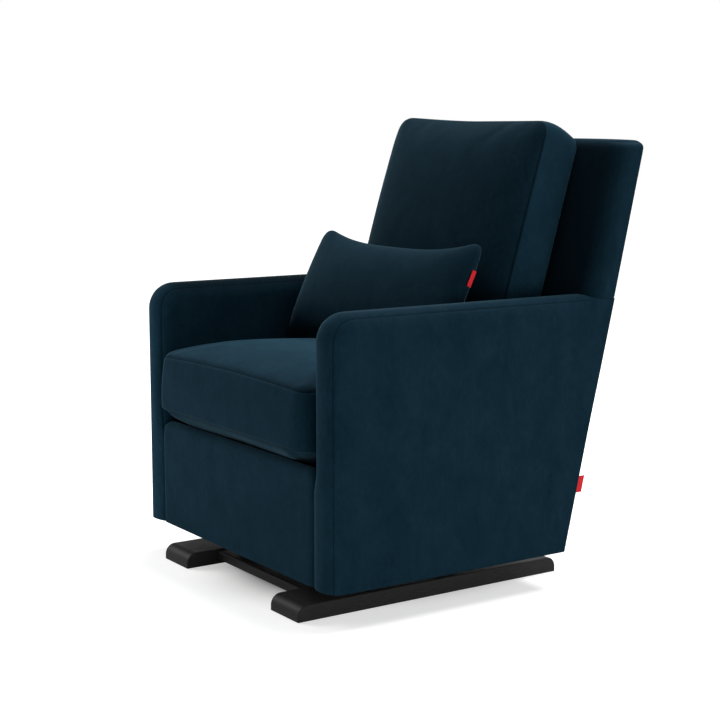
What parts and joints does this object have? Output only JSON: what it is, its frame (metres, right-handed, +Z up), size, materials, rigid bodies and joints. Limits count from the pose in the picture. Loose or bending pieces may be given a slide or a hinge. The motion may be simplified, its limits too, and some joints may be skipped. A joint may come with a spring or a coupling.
{
  "type": "glider nursery chair",
  "caption": "Upholstered glider armchair with a boxed seat cushion, a loose back cushion and a lumbar pillow, hung on swing links over a low runner base.",
  "frame": {"origin": "on the floor, under the middle of the chair's overall box", "axes": "+Z up, -Y the way the sitter faces, +X to the sitter's left"},
  "size_m": [0.76, 0.7749, 0.953],
  "materials": {
    "velvet": "matte",
    "stained_wood": "satin",
    "frame_wood": "matte",
    "painted_steel": "satin",
    "plated_steel": "satin",
    "nylon": "matte",
    "rubber": "matte",
    "felt": "matte",
    "deck_cloth": "matte",
    "webbing": "matte",
    "tag": "satin"
  },
  "bodies": {
    "base": {"runner_left": "stained_wood", "runner_right": "stained_wood", "front_stretcher": "stained_wood", "rear_stretcher": "stained_wood", "floor_pads": "felt", "stretcher_dowels": "frame_wood", "foot_bolts": "plated_steel", "upper_pivot_bolts": "plated_steel", "upper_pivot_nuts": "plated_steel", "upright_front_left": "painted_steel", "upright_front_right": "painted_steel", "upright_rear_left": "painted_steel", "upright_rear_right": "painted_steel"},
    "link_front_left": {"swing_link_front_left": "painted_steel", "link_bushes_front_left": "nylon"},
    "link_front_right": {"swing_link_front_right": "painted_steel", "link_bushes_front_right": "nylon"},
    "link_rear_left": {"swing_link_rear_left": "painted_steel", "link_bushes_rear_left": "nylon"},
    "link_rear_right": {"swing_link_rear_right": "painted_steel", "link_bushes_rear_right": "nylon"},
    "chair": {"arm_bottom_rail_left": "frame_wood", "arm_bottom_rail_right": "frame_wood", "arm_cover_left": "velvet", "arm_cover_right": "velvet", "arm_front_post_left": "frame_wood", "arm_front_post_right": "frame_wood", "arm_seat_rail_left": "frame_wood", "arm_seat_rail_right": "frame_wood", "arm_top_rail_left": "frame_wood", "arm_top_rail_right": "frame_wood", "back_cover": "velvet", "back_cushion": "velvet", "back_low_rail": "frame_wood", "back_middle_rail": "frame_wood", "back_post_left": "frame_wood", "back_post_right": "frame_wood", "back_top_rail": "frame_wood", "back_webbing": "webbing", "corner_blocks": "frame_wood", "front_apron": "velvet", "front_rail": "frame_wood", "glide_rail_left": "painted_steel", "glide_rail_right": "painted_steel", "glide_stops": "rubber", "lower_pivot_bolts": "plated_steel", "lower_pivot_nuts": "plated_steel", "outside_back_panel": "velvet", "rail_bolts": "plated_steel", "rear_rail": "frame_wood", "seat_cushion": "velvet", "seat_deck": "deck_cloth", "seat_springs": "plated_steel", "side_tag": "tag", "spring_clips": "plated_steel"},
    "pillow": {"lumbar_pillow": "velvet", "pillow_tag": "tag"}
  },
  "joints": [
    {"name": "glide", "type": "hinge", "parent": "base", "child": "link_rear_left", "pos_m": [0.175, 0.06, 0.245], "axis": [1, 0, 0], "range_deg": [-22, 22]},
    {"name": "swing_rear_right", "type": "hinge", "parent": "base", "child": "link_rear_right", "pos_m": [-0.175, 0.06, 0.245], "axis": [1, 0, 0], "range_deg": [-22, 22]},
    {"name": "swing_front_left", "type": "hinge", "parent": "base", "child": "link_front_left", "pos_m": [0.175, -0.245, 0.245], "axis": [1, 0, 0], "range_deg": [-22, 22]},
    {"name": "swing_front_right", "type": "hinge", "parent": "base", "child": "link_front_right", "pos_m": [-0.175, -0.245, 0.245], "axis": [1, 0, 0], "range_deg": [-22, 22]},
    {"name": "chair_level", "type": "hinge", "parent": "link_rear_left", "child": "chair", "pos_m": [0.175, 0.06, 0.105], "axis": [1, 0, 0], "range_deg": [-22, 22]},
    {"name": "pillow_lift", "type": "slide", "parent": "chair", "child": "pillow", "axis": [0, 0, 1], "range_m": [0, 0.5]}
  ],
  "couplings": [
    {"joint": "swing_rear_right", "follows": "glide", "ratio": 1},
    {"joint": "swing_front_left", "follows": "glide", "ratio": 1},
    {"joint": "swing_front_right", "follows": "glide", "ratio": 1},
    {"joint": "chair_level", "follows": "glide", "ratio": -1}
  ]
}
